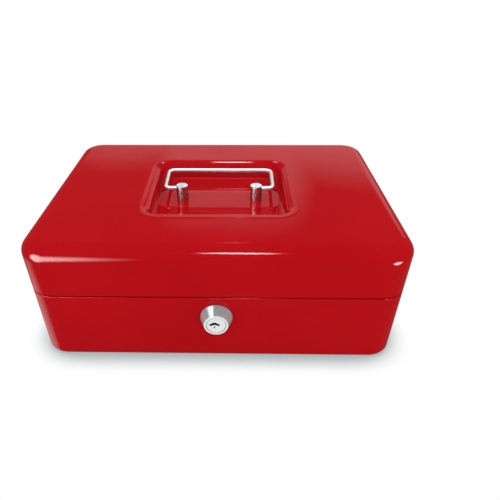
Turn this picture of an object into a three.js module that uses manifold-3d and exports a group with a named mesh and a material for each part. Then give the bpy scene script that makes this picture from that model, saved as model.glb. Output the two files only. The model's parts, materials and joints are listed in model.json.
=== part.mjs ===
// Steel cash box: pressed base and lid on a knuckle hinge, a wire handle folded into a recess
// in the lid, a cam lock with a wafer core in the front wall, and a loose coin tray inside.
// Millimetres, +Z up. The front faces -Y. The origin is the middle of the underside.

import * as THREE from 'three';
import { mergeVertices } from 'three/addons/utils/BufferGeometryUtils.js';
import Module from 'manifold-3d';

const wasm = await Module();
wasm.setup();

// ---------- driving dimensions ----------

const WIDTH = 250;
const DEPTH = 180;
const HEIGHT = 90;
const SHEET = 1;
const GAP = 0.3;                    // air left between pieces that rest on each other

const CORNER_RADIUS = 18;           // upright corners, seen from above
const TOP_RADIUS = 10;              // lid's top edge
const BOTTOM_RADIUS = 3;            // base's bottom edge
const CORNER_STEPS = 8;

const SEAM_Z = 53.5;                // middle of the gap between base and lid
const SEAM_GAP = 0.8;
const RIM_TOP_Z = 63;               // upstand of the base inside the lid
const RIM_INSET = 1.8;

const RECESS = { y: -1.85, halfX: 52.5, halfY: 47.4, radius: 10, depth: 10 };
const RECESS_FLOOR = { halfX: 43.4, halfY: 15.3, radius: 4 };     // long ramps for the fingers
const RECESS_STEPS = 8;

const HINGE_Y = DEPTH / 2 + 0.2;
const HINGE_LENGTH = 200;
const HINGE_KNUCKLES = 9;
const KNUCKLE_RADIUS = 2.6;
const KNUCKLE_BORE = 1.6;
const HINGE_PIN_RADIUS = 1.5;
const LEAF_HEIGHT = 18;             // from the pin's axis to the leaf's far edge
const LEAF_CLEAR = 3;               // half height of the slot that the knuckles turn in

const POST_X = 27.9;
const POST_Y = -3;
const POST_RADIUS = 4.45;
const POST_TOP_Z = HEIGHT + 1;
const BAIL_Z = POST_TOP_Z - 2.4;
const BAIL_WIRE = 1.55;
const BAIL_HOLE = 1.75;
const BAIL_HALF_WIDTH = 40.6;
const BAIL_REACH = 32.5;            // from the bail's hinge axis to the grip
const BAIL_END_X = 25.5;

const LOCK_Z = 36.8;
const BEZEL = { baseRadius: 10.8, faceRadius: 7.9, height: 8.6 };
const BARREL_RADIUS = 8;
const BARREL_LENGTH = 16;
const PLUG_RADIUS = 5.9;
const PLUG_BORE = 6.1;
const PLUG_FACE_RADIUS = 6.4;
const WAFER_COUNT = 5;
const WAFER_PITCH = 2.6;
const WAFER_THICKNESS = 0.9;
const FIRST_WAFER_Z = 1.5;
const CAM_LENGTH = 24;
const CAM_WIDTH = 8;
const CAM_THICKNESS = 2;
const TAIL_SIDE = 7;                // square tail of the plug, which turns the cam

const KEEPER = {
  fromX: 14,
  toX: 27,
  thickness: 1.5,
  stepIn: 3.7,                      // from the lid's skirt past the base's rim
  stepHeight: 3.5,
  stepShift: 0.7,                   // keeps the strip's thickness through the step
  rimRoom: 1.5,
  camRoom: 0.5,
  footPast: 1.5,
};

const TRAY = { frontY: -62, backY: 84, halfX: 118, bottomZ: 34, wall: 2, flange: 4.6, coinCups: 4 };

const floorZ = HEIGHT - RECESS.depth;
const lidEdgeZ = SEAM_Z + SEAM_GAP / 2;
const shoulderZ = SEAM_Z - SEAM_GAP / 2;

// ---------- materials ----------

const RED_PAINT = { color: 0xb4161c, roughness: 0.25, metalness: 0.1 };
const CHROME = { color: 0xdfe3e6, roughness: 0.12, metalness: 1 };
const ZINC_PLATE = { color: 0xa9adb0, roughness: 0.4, metalness: 1 };
const BRASS = { color: 0xc9a557, roughness: 0.35, metalness: 1 };
const BLACK_PLASTIC = { color: 0x1d1d1f, roughness: 0.55, metalness: 0 };

// ---------- solids ----------

// Closed triangle mesh with shared corners and no collapsed triangles, as a solid.
function solidOf(geometry) {
  const bare = geometry.index ? geometry.toNonIndexed() : geometry.clone();
  bare.deleteAttribute('normal');
  bare.deleteAttribute('uv');
  const merged = mergeVertices(bare);
  const corners = merged.index.array;
  const kept = [];
  for (let i = 0; i < corners.length; i += 3) {
    const [a, b, c] = [corners[i], corners[i + 1], corners[i + 2]];
    if (a !== b && b !== c && c !== a) kept.push(a, b, c);
  }
  const places = merged.attributes.position;
  if (signedVolume(places, kept) < 0) kept.reverse();
  return new wasm.Manifold(new wasm.Mesh({
    numProp: 3,
    vertProperties: new Float32Array(places.array),
    triVerts: new Uint32Array(kept),
  }));
}

function signedVolume(places, corners) {
  const [a, b, c] = [new THREE.Vector3(), new THREE.Vector3(), new THREE.Vector3()];
  let total = 0;
  for (let i = 0; i < corners.length; i += 3) {
    a.fromBufferAttribute(places, corners[i]);
    b.fromBufferAttribute(places, corners[i + 1]);
    c.fromBufferAttribute(places, corners[i + 2]);
    total += a.dot(b.cross(c)) / 6;
  }
  return total;
}

function pieceOf(name, solid, finish) {
  const mesh = solid.getMesh();
  const geometry = new THREE.BufferGeometry();
  geometry.setAttribute('position', new THREE.BufferAttribute(new Float32Array(mesh.vertProperties), 3));
  geometry.setIndex(new THREE.BufferAttribute(new Uint32Array(mesh.triVerts), 1));
  geometry.computeVertexNormals();
  const piece = new THREE.Mesh(geometry, new THREE.MeshStandardMaterial(finish));
  piece.name = name;
  return piece;
}

function joined(solids) {
  return solids.reduce((sum, solid) => sum.add(solid));
}

// Block given by its low and high corners.
function block(low, high) {
  const size = high.map((value, axis) => value - low[axis]);
  const middle = high.map((value, axis) => (value + low[axis]) / 2);
  return solidOf(new THREE.BoxGeometry(...size).translate(...middle));
}

// Round bar from one end to the other along a named axis, centred on the other two coordinates.
function bar(axis, radius, from, to, centre, sides = 24) {
  const geometry = new THREE.CylinderGeometry(radius, radius, to - from, sides);
  geometry.translate(0, (to + from) / 2, 0);
  if (axis === 'x') geometry.rotateZ(-Math.PI / 2);
  if (axis === 'z') geometry.rotateX(Math.PI / 2);
  return solidOf(geometry.translate(...centre));
}

// Solid of revolution about Z from [radius, height] pairs.
function turned(profile, sides = 24) {
  const points = profile.map(([radius, height]) => new THREE.Vector2(radius, height));
  return solidOf(new THREE.LatheGeometry(points, sides).rotateX(Math.PI / 2));
}

// Flat outline raised along Z from its own plane.
function raised(shape, from, to, curveSegments = 12) {
  const settings = { depth: to - from, bevelEnabled: false, curveSegments };
  return solidOf(new THREE.ExtrudeGeometry(shape, settings).translate(0, 0, from));
}

// Outline drawn in the Y-Z plane and run along X.
function runAlongX(shape, from, to) {
  const turn = new THREE.Matrix4().makeBasis(
    new THREE.Vector3(0, 1, 0),
    new THREE.Vector3(0, 0, 1),
    new THREE.Vector3(1, 0, 0),
  );
  const geometry = new THREE.ExtrudeGeometry(shape, { depth: to - from, bevelEnabled: false });
  return solidOf(geometry.applyMatrix4(turn).translate(from, 0, 0));
}

function outline(points) {
  return new THREE.Shape(points.map(([x, y]) => new THREE.Vector2(x, y)));
}

// One level ring of a pressed shell: a rounded rectangle, anticlockwise seen from above.
function ring({ halfX, halfY, radius, y = 0 }, z, steps = CORNER_STEPS) {
  const points = [];
  for (let quarter = 0; quarter < 4; quarter += 1) {
    const signX = quarter === 0 || quarter === 3 ? 1 : -1;
    const signY = quarter < 2 ? 1 : -1;
    for (let step = 0; step <= steps; step += 1) {
      const angle = (quarter + step / steps) * Math.PI / 2;
      const x = signX * (halfX - radius) + radius * Math.cos(angle);
      points.push([x, y + signY * (halfY - radius) + radius * Math.sin(angle), z]);
    }
  }
  return points;
}

// Skin through a run of rings, with the first ring closed below and the last closed above.
function loft(rings) {
  const count = rings[0].length;
  const corners = [];
  for (let i = 1; i < count - 1; i += 1) {
    const top = (rings.length - 1) * count;
    corners.push(0, i + 1, i, top, top + i, top + i + 1);
  }
  for (let level = 0; level < rings.length - 1; level += 1) {
    for (let i = 0; i < count; i += 1) {
      const here = level * count + i;
      const next = level * count + (i + 1) % count;
      corners.push(here, next, next + count, here, next + count, here + count);
    }
  }
  const geometry = new THREE.BufferGeometry();
  const places = new THREE.Float32BufferAttribute(rings.flat(2), 3);
  geometry.setAttribute('position', places);
  geometry.setIndex(corners);
  return solidOf(geometry);
}

// ---------- pressed shells ----------

function boxOutline(inset) {
  return { halfX: WIDTH / 2 - inset, halfY: DEPTH / 2 - inset, radius: CORNER_RADIUS - inset };
}

// Points of a quarter circle as [inset, height], between a level and an upright tangent.
function quarterArc(inset, height, radius, startAngle, endAngle, steps) {
  const points = [];
  for (let step = 0; step <= steps; step += 1) {
    const angle = THREE.MathUtils.degToRad(startAngle + (endAngle - startAngle) * step / steps);
    points.push([inset - radius * Math.cos(angle), height + radius * Math.sin(angle)]);
  }
  return points;
}

function shellRings(profile) {
  return profile.map(([inset, height]) => ring(boxOutline(inset), height));
}

function baseShell() {
  const shoulderRadius = 0.8;
  const joggle = RIM_INSET;         // how far the wall steps in, and how tall the step is inside
  const innerRadius = BOTTOM_RADIUS - SHEET;
  const profile = [
    ...quarterArc(BOTTOM_RADIUS, BOTTOM_RADIUS, BOTTOM_RADIUS, -90, 0, 4),
    ...quarterArc(shoulderRadius, shoulderZ - shoulderRadius, shoulderRadius, 0, 90, 3),
    [RIM_INSET, shoulderZ],
    [RIM_INSET, RIM_TOP_Z],
    [RIM_INSET + SHEET, RIM_TOP_Z],
    [RIM_INSET + SHEET, shoulderZ - SHEET],
    [SHEET, shoulderZ - SHEET - joggle],
    ...quarterArc(BOTTOM_RADIUS, BOTTOM_RADIUS, innerRadius, 0, -90, 3),
  ];
  const wallInside = DEPTH / 2 - SHEET + 0.1;
  const halfSlot = HINGE_LENGTH / 2 + 1;
  const hingeSlot = block([-halfSlot, DEPTH / 2 - 5, SEAM_Z - LEAF_CLEAR], [halfSlot, DEPTH, HEIGHT]);
  const leafRelief = block([-halfSlot, DEPTH / 2 - 5, SEAM_Z - 8], [halfSlot, wallInside, HEIGHT]);
  const lockHole = bar('y', BARREL_RADIUS + GAP, -DEPTH / 2 - 5, -DEPTH / 2 + 5, [0, 0, LOCK_Z], 32);
  const shell = loft(shellRings(profile));
  return pieceOf('base_shell', shell.subtract(joined([hingeSlot, leafRelief, lockHole])), RED_PAINT);
}

// Rings down the recess: half a cosine wave from the rim (0) to the floor (1).
function recessRing(share, thickness) {
  const mix = THREE.MathUtils.lerp;
  const level = HEIGHT - thickness - RECESS.depth * (1 - Math.cos(Math.PI * share)) / 2;
  const shape = {
    halfX: mix(RECESS.halfX, RECESS_FLOOR.halfX, share) + thickness,
    halfY: mix(RECESS.halfY, RECESS_FLOOR.halfY, share) + thickness,
    radius: mix(RECESS.radius, RECESS_FLOOR.radius, share) + thickness,
    y: RECESS.y,
  };
  return ring(shape, level);
}

function recessRings(thickness) {
  return Array.from({ length: RECESS_STEPS + 1 }, (_, step) => recessRing(step / RECESS_STEPS, thickness));
}

function lidShell() {
  const arcHeight = HEIGHT - TOP_RADIUS;
  const underside = quarterArc(TOP_RADIUS, arcHeight, TOP_RADIUS - SHEET, 90, 0, 5);
  const outside = quarterArc(TOP_RADIUS, arcHeight, TOP_RADIUS, 0, 90, 6);
  const rings = [
    ...recessRings(SHEET).reverse(),
    ...shellRings([...underside, [SHEET, lidEdgeZ], [0, lidEdgeZ], ...outside]),
    ...recessRings(0),
  ];
  const halfSlot = HINGE_LENGTH / 2 + 1;
  const hingeSlot = block([-halfSlot, DEPTH / 2 - 5, SEAM_Z - 5], [halfSlot, DEPTH, SEAM_Z + LEAF_CLEAR]);
  const cuts = [hingeSlot];
  for (const x of [-POST_X, POST_X]) {
    cuts.push(bar('z', SPIGOT_RADIUS + GAP, floorZ - 5, floorZ + 5, [x, POST_Y, 0]));
  }
  return pieceOf('lid_shell', loft(rings).subtract(joined(cuts)), RED_PAINT);
}

// ---------- hinge ----------

// Rolled knuckle and the strip that runs off it, up for the lid (+1) or down for the base (-1).
function knuckleShape(direction) {
  const stripInside = KNUCKLE_RADIUS - SHEET;
  const lastAngle = 2 * Math.PI + Math.acos(-stripInside / KNUCKLE_RADIUS);
  const steps = 20;
  const points = [[-KNUCKLE_RADIUS, direction * (LEAF_CLEAR + GAP)]];
  for (let step = 0; step <= steps; step += 1) {
    const angle = Math.PI + (lastAngle - Math.PI) * step / steps;
    points.push([KNUCKLE_RADIUS * Math.cos(angle), direction * KNUCKLE_RADIUS * Math.sin(angle)]);
  }
  points.push([-stripInside, direction * (LEAF_CLEAR + GAP)]);
  const shape = outline(points);
  shape.holes.push(new THREE.Path().absarc(0, 0, KNUCKLE_BORE, 0, 2 * Math.PI, direction > 0));
  return shape;
}

function hingeLeaf(name, direction, firstKnuckle) {
  const pitch = HINGE_LENGTH / HINGE_KNUCKLES;
  const shape = knuckleShape(direction);
  const solids = [];
  for (let index = firstKnuckle; index < HINGE_KNUCKLES; index += 2) {
    const start = -HINGE_LENGTH / 2 + index * pitch;
    solids.push(runAlongX(shape, start + GAP, start + pitch - GAP));
  }
  const reach = [direction * LEAF_CLEAR, direction * LEAF_HEIGHT].sort((a, b) => a - b);
  const half = HINGE_LENGTH / 2;
  const plate = block([-half, -KNUCKLE_RADIUS, reach[0]], [half, SHEET - KNUCKLE_RADIUS, reach[1]]);
  const leaf = joined([plate, ...solids]).translate(0, HINGE_Y, SEAM_Z);
  return pieceOf(name, leaf, RED_PAINT);
}

function hingePin() {
  const half = HINGE_LENGTH / 2 + 0.5;
  return pieceOf('hinge_pin', bar('x', HINGE_PIN_RADIUS, -half, half, [0, HINGE_Y, SEAM_Z]), ZINC_PLATE);
}

// ---------- carry handle ----------

const SPIGOT_RADIUS = 2.5;
const SPIGOT_HEAD = { tipRadius: 2.6, radius: 3.8, rim: 0.6, height: 1.4 };
const WASHER_RADIUS = 5.2;
const WASHER_THICKNESS = 1.1;

// Pillar with a spigot through the recess floor, peened over a washer below it.
function handlePost(side, x) {
  const chamfer = 0.4;
  const washerZ = floorZ - SHEET - GAP - WASHER_THICKNESS;
  const headZ = washerZ - GAP;
  const profile = [
    [0, headZ - SPIGOT_HEAD.height],
    [SPIGOT_HEAD.tipRadius, headZ - SPIGOT_HEAD.height],
    [SPIGOT_HEAD.radius, headZ - SPIGOT_HEAD.rim],
    [SPIGOT_HEAD.radius, headZ],
    [SPIGOT_RADIUS, headZ],
    [SPIGOT_RADIUS, floorZ + GAP],
    [POST_RADIUS, floorZ + GAP],
    [POST_RADIUS, POST_TOP_Z - chamfer],
    [POST_RADIUS - chamfer, POST_TOP_Z],
    [0, POST_TOP_Z],
  ];
  const outward = Math.sign(x);
  const endRoom = 0.9;
  const holeEnds = [outward * (BAIL_END_X - endRoom), x + outward * 2 * POST_RADIUS].sort((a, b) => a - b);
  const pillar = turned(profile).translate(x, POST_Y, 0);
  const hole = bar('x', BAIL_HOLE, holeEnds[0], holeEnds[1], [0, POST_Y, BAIL_Z]);
  return pieceOf(`handle_post_${side}`, pillar.subtract(hole), CHROME);
}

function postWasher(side, x) {
  const top = floorZ - SHEET - GAP;
  const hole = SPIGOT_RADIUS + GAP;
  const under = top - WASHER_THICKNESS;
  const profile = [[hole, under], [WASHER_RADIUS, under], [WASHER_RADIUS, top], [hole, top]];
  profile.push(profile[0]);
  return pieceOf(`post_washer_${side}`, turned(profile).translate(x, POST_Y, 0), ZINC_PLATE);
}

// Round wire bent flat: in from each post, out and back along the arms, across at the grip.
function handleBail() {
  const footBend = 4;
  const gripBend = 6;
  const path = new THREE.CurvePath();
  const at = (x, y) => new THREE.Vector3(x, POST_Y + y, BAIL_Z);
  const bend = (from, corner, to) => path.add(new THREE.QuadraticBezierCurve3(from, corner, to));
  const line = (from, to) => path.add(new THREE.LineCurve3(from, to));
  const side = BAIL_HALF_WIDTH;
  line(at(-BAIL_END_X, 0), at(-side + footBend, 0));
  bend(at(-side + footBend, 0), at(-side, 0), at(-side, footBend));
  line(at(-side, footBend), at(-side, BAIL_REACH - gripBend));
  bend(at(-side, BAIL_REACH - gripBend), at(-side, BAIL_REACH), at(-side + gripBend, BAIL_REACH));
  line(at(-side + gripBend, BAIL_REACH), at(side - gripBend, BAIL_REACH));
  bend(at(side - gripBend, BAIL_REACH), at(side, BAIL_REACH), at(side, BAIL_REACH - gripBend));
  line(at(side, BAIL_REACH - gripBend), at(side, footBend));
  bend(at(side, footBend), at(side, 0), at(side - footBend, 0));
  line(at(side - footBend, 0), at(BAIL_END_X, 0));
  const section = new THREE.Shape().absarc(0, 0, BAIL_WIRE, 0, 2 * Math.PI, false);
  const settings = { steps: 72, extrudePath: path, curveSegments: 5 };
  return pieceOf('handle_bail', solidOf(new THREE.ExtrudeGeometry(section, settings)), CHROME);
}

// ---------- lock, in a frame with +Z out of the front wall and +Y up ----------

const waferZ = (index) => FIRST_WAFER_Z - index * WAFER_PITCH;
const WAFER = { halfX: 4.9, lowY: -2.4, highY: 3.2 };
const KEY_WINDOW = { lowX: -4.1, highX: 2.5, lowY: -1.7, highY: 2.4 };
const LUG = { lowX: 1.5, highX: 2.2, topY: 4.5, overlap: 0.5 };
const CHAMBER = { lowX: -2.5, highX: 2.4, topY: 4.95, halfZ: 0.85 };     // room for lug and spring
const SPRING = { fromX: -2.2, toX: 1.3, y: 4.15, radius: 0.5, wire: 0.12, turns: 4 };
const PLUG_FACE_Z = BEZEL.height - GAP;
const PLUG_FACE_THICKNESS = 1.5;
const CAM_BACK_Z = -BARREL_LENGTH - 2 * GAP - CAM_THICKNESS;
const SCREW_RADIUS = 1.6;
const SCREW_HOLE_END = -13;

function lockBody() {
  const seat = PLUG_FACE_Z - PLUG_FACE_THICKNESS - GAP;
  const faceEdge = 0.4;
  const flangeEdge = 0.6;
  const profile = [
    [PLUG_BORE, -BARREL_LENGTH],
    [BARREL_RADIUS, -BARREL_LENGTH],
    [BARREL_RADIUS, GAP],
    [BEZEL.baseRadius, GAP],
    [BEZEL.baseRadius, GAP + flangeEdge],
    [BEZEL.faceRadius, BEZEL.height - faceEdge],
    [BEZEL.faceRadius - faceEdge, BEZEL.height],
    [PLUG_FACE_RADIUS + GAP, BEZEL.height],
    [PLUG_FACE_RADIUS + GAP, seat],
    [PLUG_BORE, seat],
  ];
  profile.push(profile[0]);
  const lastWafer = waferZ(WAFER_COUNT - 1);
  const channelDepth = 1.1;         // locked wafers slide this far into the barrel
  const channel = block(
    [-PLUG_BORE - channelDepth, WAFER.lowY - GAP, lastWafer - WAFER_PITCH],
    [PLUG_BORE + channelDepth, WAFER.highY + GAP, FIRST_WAFER_Z + WAFER_THICKNESS],
  );
  return pieceOf('lock_body', turned(profile, 32).subtract(channel), CHROME);
}

// Curved slot for the blade, thicker in the middle than at its turned-out tips.
function keywayShape() {
  const middle = -0.8;
  const shape = new THREE.Shape();
  shape.moveTo(middle - 3, -0.9);
  shape.bezierCurveTo(middle - 2, -0.9, middle - 1.4, 2, middle, 2.1);
  shape.bezierCurveTo(middle + 1.4, 2, middle + 2, -0.2, middle + 2.8, -0.1);
  shape.lineTo(middle + 3, -1.1);
  shape.bezierCurveTo(middle + 1.6, -1.3, middle + 1.2, 0.2, middle, 0.3);
  shape.bezierCurveTo(middle - 1.2, 0.2, middle - 1.8, -1.5, middle - 2.9, -1.6);
  shape.closePath();
  return shape;
}

function lockPlug() {
  const faceBack = PLUG_FACE_Z - PLUG_FACE_THICKNESS;
  const bodyBack = -BARREL_LENGTH - GAP;
  const tailBack = CAM_BACK_Z - GAP;
  const core = turned([
    [0, bodyBack],
    [PLUG_RADIUS, bodyBack],
    [PLUG_RADIUS, faceBack],
    [PLUG_FACE_RADIUS, faceBack],
    [PLUG_FACE_RADIUS, PLUG_FACE_Z],
    [0, PLUG_FACE_Z],
  ], 32);
  const half = TAIL_SIDE / 2;
  const tail = block([-half, -half, tailBack], [half, half, bodyBack + 1]);
  const keywayEnd = -11;
  const cuts = [
    raised(keywayShape(), keywayEnd, BEZEL.height, 6),
    bar('z', SCREW_RADIUS + GAP, tailBack - 1, SCREW_HOLE_END, [0, 0, 0], 16),
  ];
  for (let index = 0; index < WAFER_COUNT; index += 1) {
    const play = 0.2;
    const slotHalf = WAFER_THICKNESS / 2 + play;
    const z = waferZ(index);
    cuts.push(block(
      [-BARREL_RADIUS, WAFER.lowY - play, z - slotHalf],
      [BARREL_RADIUS, WAFER.highY + play, z + slotHalf],
    ));
    cuts.push(block(
      [CHAMBER.lowX, WAFER.highY - play, z - CHAMBER.halfZ],
      [CHAMBER.highX, CHAMBER.topY, z + CHAMBER.halfZ],
    ));
  }
  return pieceOf('lock_plug', core.add(tail).subtract(joined(cuts)), CHROME);
}

// Flat tumbler with a window for the blade and a lug that its spring pushes on.
function lockWafer(index) {
  const front = waferZ(index) + WAFER_THICKNESS / 2;
  const back = front - WAFER_THICKNESS;
  const plate = block([-WAFER.halfX, WAFER.lowY, back], [WAFER.halfX, WAFER.highY, front]);
  const lug = block([LUG.lowX, WAFER.highY - LUG.overlap, back], [LUG.highX, LUG.topY, front]);
  const window = block(
    [KEY_WINDOW.lowX, KEY_WINDOW.lowY, back - 1],
    [KEY_WINDOW.highX, KEY_WINDOW.highY, front + 1],
  );
  return pieceOf(`lock_wafer_${index + 1}`, plate.add(lug).subtract(window), BRASS);
}

class Helix extends THREE.Curve {
  getPoint(share, target = new THREE.Vector3()) {
    const angle = share * SPRING.turns * 2 * Math.PI;
    const x = THREE.MathUtils.lerp(SPRING.fromX, SPRING.toX, share);
    return target.set(x, SPRING.y + SPRING.radius * Math.cos(angle), SPRING.radius * Math.sin(angle));
  }
}

function waferSpring(index) {
  const section = new THREE.Shape().absarc(0, 0, SPRING.wire, 0, 2 * Math.PI, false);
  const settings = { steps: SPRING.turns * 8, extrudePath: new Helix(), curveSegments: 3 };
  const coil = solidOf(new THREE.ExtrudeGeometry(section, settings)).translate(0, 0, waferZ(index));
  return pieceOf(`wafer_spring_${index + 1}`, coil, ZINC_PLATE);
}

function lockNut() {
  const acrossFlats = 22;
  const thickness = 3;
  const hexagon = new THREE.CylinderGeometry(1, 1, thickness, 6).rotateY(Math.PI / 6).rotateX(Math.PI / 2);
  const corner = acrossFlats / 2 / Math.cos(Math.PI / 6);
  hexagon.scale(corner, corner, 1);
  hexagon.translate(0, 0, -SHEET - GAP - thickness / 2);
  const hole = bar('z', BARREL_RADIUS + GAP, -BARREL_LENGTH, 0, [0, 0, 0], 32);
  return pieceOf('lock_nut', solidOf(hexagon).subtract(hole), ZINC_PLATE);
}

function lockCam() {
  const hubRadius = 7.5;
  const armHalf = CAM_WIDTH / 2;
  const armStart = Math.asin(armHalf / hubRadius);
  const shape = new THREE.Shape();
  shape.absarc(0, 0, hubRadius, Math.PI / 2 + armStart, 5 * Math.PI / 2 - armStart, false);
  shape.lineTo(armHalf, CAM_LENGTH - armHalf);
  shape.absarc(0, CAM_LENGTH - armHalf, armHalf, 0, Math.PI, false);
  shape.closePath();
  const half = TAIL_SIDE / 2 + GAP;
  const plate = raised(shape, CAM_BACK_Z, CAM_BACK_Z + CAM_THICKNESS, 6);
  const hole = block([-half, -half, CAM_BACK_Z - 1], [half, half, 0]);
  return pieceOf('lock_cam', plate.subtract(hole), ZINC_PLATE);
}

const camWasherFront = CAM_BACK_Z - 2 * GAP;
const CAM_WASHER = { radius: 5.5, thickness: 1 };
const SCREW_HEAD = { radius: 3.5, topRadius: 2.6, rim: 1.2, height: 2.2 };

function camWasher() {
  const hole = SCREW_RADIUS + GAP;
  const { radius, thickness } = CAM_WASHER;
  const back = camWasherFront - thickness;
  const profile = [[hole, back], [radius, back], [radius, camWasherFront], [hole, camWasherFront]];
  profile.push(profile[0]);
  return pieceOf('cam_washer', turned(profile), ZINC_PLATE);
}

function camScrew() {
  const headFront = camWasherFront - CAM_WASHER.thickness - GAP;
  const { radius, topRadius, rim, height } = SCREW_HEAD;
  const tip = SCREW_HOLE_END - 0.5;
  const profile = [
    [0, headFront - height],
    [topRadius, headFront - height],
    [radius, headFront - rim],
    [radius, headFront],
    [SCREW_RADIUS, headFront],
    [SCREW_RADIUS, tip],
    [0, tip],
  ];
  const slotHalf = 0.4;
  const slotDepth = 0.9;
  const slot = block(
    [-radius - 1, -slotHalf, headFront - height - 1],
    [radius + 1, slotHalf, headFront - height + slotDepth],
  );
  return pieceOf('cam_screw', turned(profile, 20).subtract(slot), ZINC_PLATE);
}

function lockGroup() {
  const lock = new THREE.Group();
  lock.position.set(0, -DEPTH / 2, LOCK_Z);
  lock.rotation.x = Math.PI / 2;
  lock.add(lockBody(), lockNut(), lockPlug(), lockCam(), camWasher(), camScrew());
  for (let index = 0; index < WAFER_COUNT; index += 1) {
    lock.add(lockWafer(index), waferSpring(index));
  }
  return lock;
}

// ---------- keeper on the lid ----------

// Strip welded inside the lid's front skirt, stepped in past the rim, with a foot under the cam.
function lidKeeper() {
  const thick = KEEPER.thickness;
  const weldY = -DEPTH / 2 + SHEET + GAP;
  const dropY = weldY + KEEPER.stepIn;
  const footTop = LOCK_Z - CAM_WIDTH / 2 - KEEPER.camRoom;
  const footEnd = -DEPTH / 2 - CAM_BACK_Z + KEEPER.footPast;
  const stepLow = RIM_TOP_Z + KEEPER.rimRoom;
  const stepHigh = stepLow + KEEPER.stepHeight;
  const points = [
    [weldY, HEIGHT - TOP_RADIUS],
    [weldY, stepHigh],
    [dropY, stepLow],
    [dropY, footTop - thick],
    [footEnd, footTop - thick],
    [footEnd, footTop],
    [dropY + thick, footTop],
    [dropY + thick, stepLow + KEEPER.stepShift],
    [weldY + thick, stepHigh + KEEPER.stepShift],
    [weldY + thick, HEIGHT - TOP_RADIUS],
  ];
  return pieceOf('lid_keeper', runAlongX(outline(points), KEEPER.fromX, KEEPER.toX), ZINC_PLATE);
}

// ---------- coin tray ----------

// Block with rounded upright corners that narrows downwards.
function trayBlock(fromX, toX, fromY, toY, bottomZ, topZ, radius, taper) {
  const middleX = (fromX + toX) / 2;
  const shape = { halfX: (toX - fromX) / 2, halfY: (toY - fromY) / 2, radius, y: (fromY + toY) / 2 };
  const foot = { ...shape, halfX: shape.halfX - taper, halfY: shape.halfY - taper };
  return loft([ring(foot, bottomZ, 3), ring(shape, topZ, 3)]).translate(middleX, 0, 0);
}

function coinTray() {
  const { frontY, backY, halfX, bottomZ, wall, flange, coinCups } = TRAY;
  const flangeZ = RIM_TOP_Z + GAP;
  const topZ = flangeZ + 1.6;
  const cupBack = frontY + 0.56 * (backY - frontY);
  const body = trayBlock(-halfX, halfX, frontY, backY, bottomZ, topZ, 8, 2);
  const flangeHalf = halfX + flange;
  const flangePlate = trayBlock(-flangeHalf, flangeHalf, frontY, backY, flangeZ, topZ, 8, 0);
  const pitch = (2 * halfX - wall) / coinCups;
  const hollow = (fromX, toX, fromY, toY) => (
    trayBlock(fromX, toX, fromY, toY, bottomZ + wall, topZ + 1, 6, 2)
  );
  const cuts = [hollow(-halfX + wall, halfX - wall, cupBack + wall, backY - wall)];
  for (let index = 0; index < coinCups; index += 1) {
    const start = -halfX + wall + index * pitch;
    cuts.push(hollow(start, start + pitch - wall, frontY + wall, cupBack));
  }
  return pieceOf('coin_tray', body.add(flangePlate).subtract(joined(cuts)), BLACK_PLASTIC);
}

// ---------- assembly ----------

const cashBox = new THREE.Group();

const boxGroup = new THREE.Group();
boxGroup.add(baseShell(), hingeLeaf('hinge_leaf_base', -1, 0), hingePin(), lockGroup());

const handleGroup = new THREE.Group();
handleGroup.add(handleBail());
for (const [side, x] of [['left', -POST_X], ['right', POST_X]]) {
  handleGroup.add(handlePost(side, x), postWasher(side, x));
}

const lidGroup = new THREE.Group();
lidGroup.add(lidShell(), hingeLeaf('hinge_leaf_lid', 1, 1), lidKeeper(), handleGroup);

cashBox.add(boxGroup, lidGroup, coinTray());

export default cashBox;
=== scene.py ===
"""Looks of a pressed steel cash box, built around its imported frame.

Metres, +Z up, front wall towards -Y, hinge towards +Y, as in the frame.
"""

import json
import math

import bmesh
import bpy
from mathutils import Matrix, Vector

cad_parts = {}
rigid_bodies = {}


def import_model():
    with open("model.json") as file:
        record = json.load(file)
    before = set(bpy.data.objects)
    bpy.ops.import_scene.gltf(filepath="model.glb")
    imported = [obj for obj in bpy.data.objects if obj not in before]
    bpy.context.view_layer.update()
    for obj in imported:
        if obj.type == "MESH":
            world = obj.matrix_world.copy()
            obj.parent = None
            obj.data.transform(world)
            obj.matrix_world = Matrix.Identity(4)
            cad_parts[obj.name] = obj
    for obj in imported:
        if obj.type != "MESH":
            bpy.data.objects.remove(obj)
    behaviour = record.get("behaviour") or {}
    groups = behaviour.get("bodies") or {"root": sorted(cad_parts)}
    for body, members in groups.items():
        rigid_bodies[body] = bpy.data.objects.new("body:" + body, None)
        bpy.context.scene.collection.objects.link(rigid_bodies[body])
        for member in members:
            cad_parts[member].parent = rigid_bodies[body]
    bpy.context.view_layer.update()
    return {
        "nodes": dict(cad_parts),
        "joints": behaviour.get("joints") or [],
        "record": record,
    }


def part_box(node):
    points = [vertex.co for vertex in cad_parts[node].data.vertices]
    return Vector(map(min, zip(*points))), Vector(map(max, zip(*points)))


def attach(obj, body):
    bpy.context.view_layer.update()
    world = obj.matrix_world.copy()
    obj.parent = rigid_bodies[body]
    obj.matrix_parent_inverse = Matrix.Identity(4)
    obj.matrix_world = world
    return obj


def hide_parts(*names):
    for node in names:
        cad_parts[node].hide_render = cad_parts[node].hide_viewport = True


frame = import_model()

MM = 0.001
scene = bpy.context.scene

# ---------- sizes, from the frame where it holds them ----------

base_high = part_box("base_shell")[1]
lid_low, lid_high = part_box("lid_shell")
post_low, post_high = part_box("handle_post_right")
bail_low, bail_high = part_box("handle_bail")
lock_low, lock_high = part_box("lock_body")
tray_low, tray_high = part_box("coin_tray")
pin_low, pin_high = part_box("hinge_pin")
joint_place = {joint["name"]: Vector(joint["pos_m"]) for joint in frame["joints"] if "pos_m" in joint}

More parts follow.
